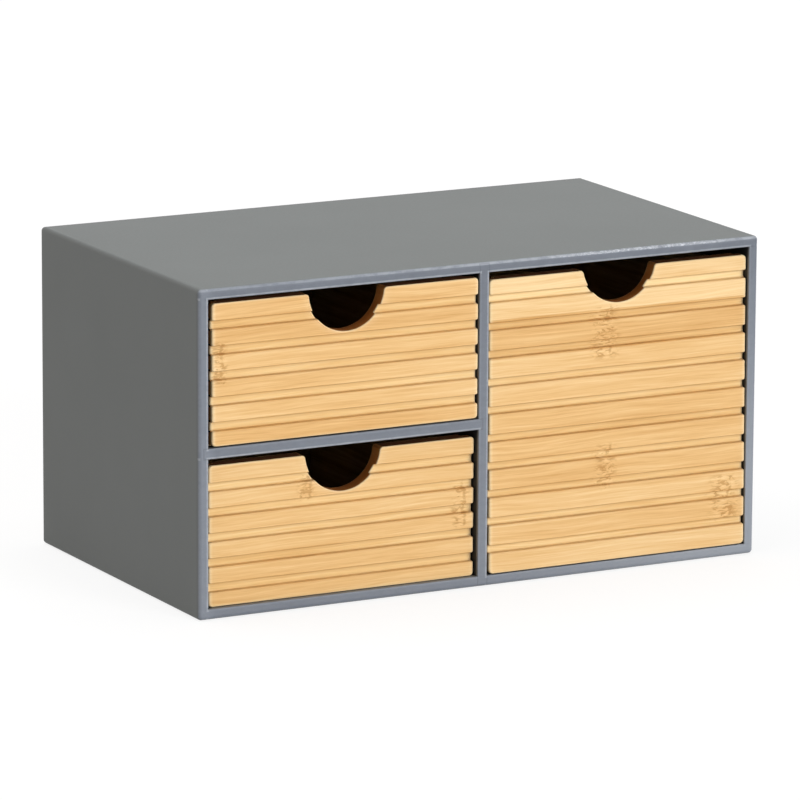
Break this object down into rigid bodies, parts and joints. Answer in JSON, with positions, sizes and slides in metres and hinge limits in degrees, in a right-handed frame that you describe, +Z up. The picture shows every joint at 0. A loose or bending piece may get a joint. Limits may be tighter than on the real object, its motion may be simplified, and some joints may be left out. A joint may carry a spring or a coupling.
{
  "type": "desktop mini drawers",
  "caption": "Small desktop chest of drawers: a painted board case with bays, and pull-out drawers with reeded bamboo fronts and finger notches.",
  "frame": {"origin": "centre of the base, on the surface that the case stands on", "axes": "+X across the fronts to the right-hand drawer, -Y out of the fronts, the way the drawers pull, and +Z up"},
  "size_m": [0.25, 0.145, 0.131],
  "materials": {
    "painted_board": "satin grey paint over fibreboard, rounded arrises",
    "bamboo": "fine-sanded bamboo strips, clear satin lacquer",
    "plywood": "sanded plywood, unlacquered",
    "hardboard": "smooth brown hardboard",
    "steel_brad": "bright steel wire"
  },
  "bodies": {
    "case": {"left_side_panel": "painted_board", "right_side_panel": "painted_board", "top_panel": "painted_board", "bottom_panel": "painted_board", "centre_divider": "painted_board", "shelf": "painted_board", "back_panel": "hardboard", "back_panel_brads": "steel_brad"},
    "upper_left_drawer": {"upper_left_drawer_front": "bamboo", "upper_left_drawer_left_side": "plywood", "upper_left_drawer_right_side": "plywood", "upper_left_drawer_back": "plywood", "upper_left_drawer_bottom": "plywood", "upper_left_drawer_brads": "steel_brad"},
    "lower_left_drawer": {"lower_left_drawer_front": "bamboo", "lower_left_drawer_left_side": "plywood", "lower_left_drawer_right_side": "plywood", "lower_left_drawer_back": "plywood", "lower_left_drawer_bottom": "plywood", "lower_left_drawer_brads": "steel_brad"},
    "right_drawer": {"right_drawer_front": "bamboo", "right_drawer_left_side": "plywood", "right_drawer_right_side": "plywood", "right_drawer_back": "plywood", "right_drawer_bottom": "plywood", "right_drawer_brads": "steel_brad"}
  },
  "joints": [
    {"name": "upper_left_slide", "type": "slide", "parent": "case", "child": "upper_left_drawer", "axis": [0, -1, 0], "range_m": [-0.0022, 0.105]},
    {"name": "lower_left_slide", "type": "slide", "parent": "case", "child": "lower_left_drawer", "axis": [0, -1, 0], "range_m": [0, 0.105]},
    {"name": "right_slide", "type": "slide", "parent": "case", "child": "right_drawer", "axis": [0, -1, 0], "range_m": [-0.0016, 0.105]}
  ]
}
